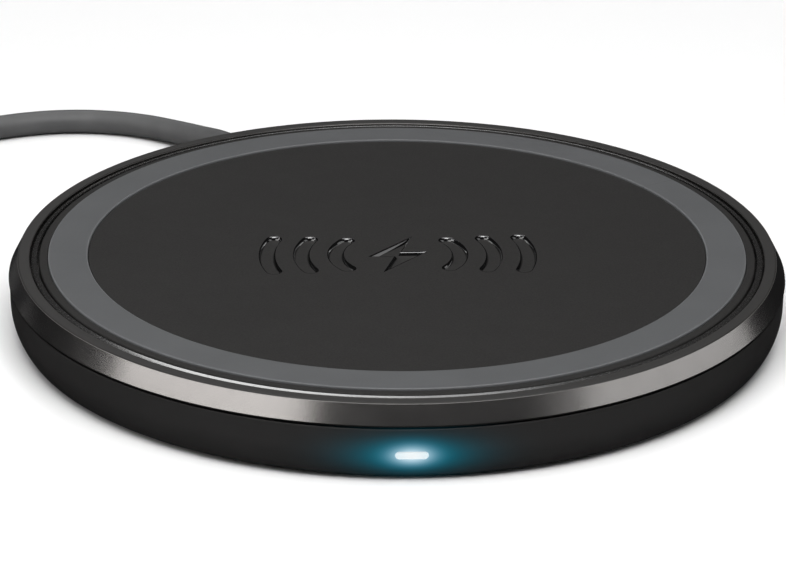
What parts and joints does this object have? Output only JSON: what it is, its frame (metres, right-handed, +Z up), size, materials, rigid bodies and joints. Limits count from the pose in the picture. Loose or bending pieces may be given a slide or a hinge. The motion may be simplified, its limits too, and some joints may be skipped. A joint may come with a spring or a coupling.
{
  "type": "wireless charging pad",
  "caption": "Round low wireless charging pad with a sloping metal bezel, a raised grey grip ring, a front status light and a captive USB cable.",
  "frame": {"origin": "on the table under the middle of the pad", "axes": "+Z up out of the charging surface, the status light faces -Y, the cable leaves at the back left"},
  "size_m": [0.1646, 0.1232, 0.01],
  "materials": {
    "base_plastic": "fine matt texture",
    "bezel_metal": "satin dark plated, fine turned grain",
    "gloss_black": "high gloss",
    "soft_touch": "soft-touch coating",
    "grip_silicone": "matt silicone",
    "foot_rubber": "matt",
    "litz_copper": "enamelled copper strands",
    "ferrite": "matt sintered",
    "adhesive": "matt",
    "board_laminate": "solder resist",
    "chip_black": "moulded epoxy",
    "chip_ceramic": "sintered",
    "inductor_ferrite": "matt",
    "can_metal": "plated",
    "sensor_glass": "coated bead",
    "led_lens": "clear resin",
    "light_pipe_clear": "clear acrylic, lit from behind",
    "screw_steel": "zinc plated",
    "relief_rubber": "matt moulded",
    "wire_red": "PVC",
    "wire_black": "PVC",
    "wire_white": "PVC",
    "wire_green": "PVC",
    "cable_jacket": "matt PVC jacket",
    "tie_fabric": "woven hook-and-loop strap",
    "plug_plastic": "moulded",
    "plug_steel": "nickel plated",
    "plug_insert": "moulded",
    "contact_gold": "gold plated"
  },
  "bodies": {
    "root": {"base_shell": "base_plastic", "bezel_ring": "bezel_metal", "trim_ring": "gloss_black", "top_cover": "soft_touch", "grip_ring": "grip_silicone", "emblem": "gloss_black", "charging_coil": "litz_copper", "coil_leads": "litz_copper", "ferrite_disc": "ferrite", "adhesive_disc": "adhesive", "main_board": "board_laminate", "controller_chip": "chip_black", "bridge_chips": "chip_black", "resonant_capacitors": "chip_ceramic", "bulk_capacitors": "chip_ceramic", "chip_capacitors": "chip_ceramic", "chip_resistors": "chip_black", "power_inductor": "inductor_ferrite", "crystal": "can_metal", "thermistor": "sensor_glass", "led_chips": "led_lens", "light_pipe": "light_pipe_clear", "case_screws": "screw_steel", "board_screws": "screw_steel", "rubber_feet": "foot_rubber", "strain_relief": "relief_rubber", "wire_red": "wire_red", "wire_black": "wire_black", "wire_white": "wire_white", "wire_green": "wire_green", "cable_run": "cable_jacket", "cable_coil": "cable_jacket", "cable_tail": "cable_jacket", "cable_tie": "tie_fabric", "plug_overmould": "plug_plastic", "plug_shell": "plug_steel", "plug_tongue": "plug_insert", "plug_contacts": "contact_gold"}
  },
  "joints": []
}
